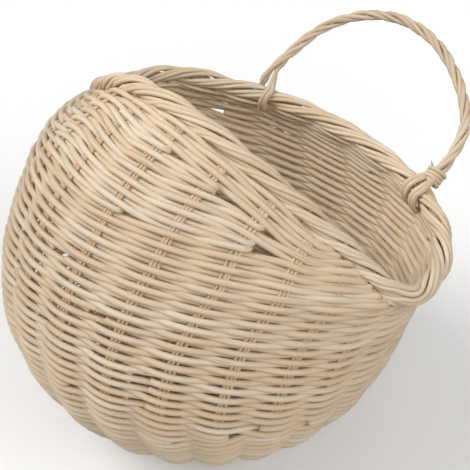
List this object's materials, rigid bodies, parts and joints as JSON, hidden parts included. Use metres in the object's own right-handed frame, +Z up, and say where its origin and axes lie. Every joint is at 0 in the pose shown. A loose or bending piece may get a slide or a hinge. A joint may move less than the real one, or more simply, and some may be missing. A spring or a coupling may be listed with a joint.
{
  "type": "hanging storage basket",
  "caption": "Ball-shaped woven rattan basket with a hooded front, a lens-shaped mouth with a rolled rim, and a twisted cane hanging handle.",
  "frame": {"origin": "middle of the woven base, on the surface that the basket stands on", "axes": "+Z up; -Y towards the hood, +Y towards the side that the handle is on, so the part is the same to +X and -X apart from the slant of its border strands and the handle"},
  "size_m": [0.2748, 0.2893, 0.2228],
  "materials": {
    "weave_cane": "unvarnished peeled cane, satin",
    "stake_cane": "unvarnished peeled cane, satin",
    "handle_cane": "unvarnished peeled cane, satin"
  },
  "bodies": {
    "root": {"base_weave": "weave_cane", "wall_lower": "weave_cane", "wall_middle": "weave_cane", "wall_upper": "weave_cane", "base_cross_lower": "stake_cane", "base_cross_upper": "stake_cane", "stake_01": "stake_cane", "stake_02": "stake_cane", "stake_03": "stake_cane", "stake_04": "stake_cane", "stake_05": "stake_cane", "stake_06": "stake_cane", "stake_07": "stake_cane", "stake_08": "stake_cane", "stake_09": "stake_cane", "stake_10": "stake_cane", "stake_11": "stake_cane", "stake_12": "stake_cane", "stake_13": "stake_cane", "stake_14": "stake_cane", "stake_15": "stake_cane", "stake_16": "stake_cane", "stake_17": "stake_cane", "stake_18": "stake_cane", "stake_19": "stake_cane", "stake_20": "stake_cane", "stake_21": "stake_cane", "stake_22": "stake_cane", "stake_23": "stake_cane", "stake_24": "stake_cane", "handle_rod_over": "handle_cane", "handle_rod_under": "handle_cane", "handle_rod_middle": "handle_cane", "handle_binding": "handle_cane"}
  },
  "joints": []
}
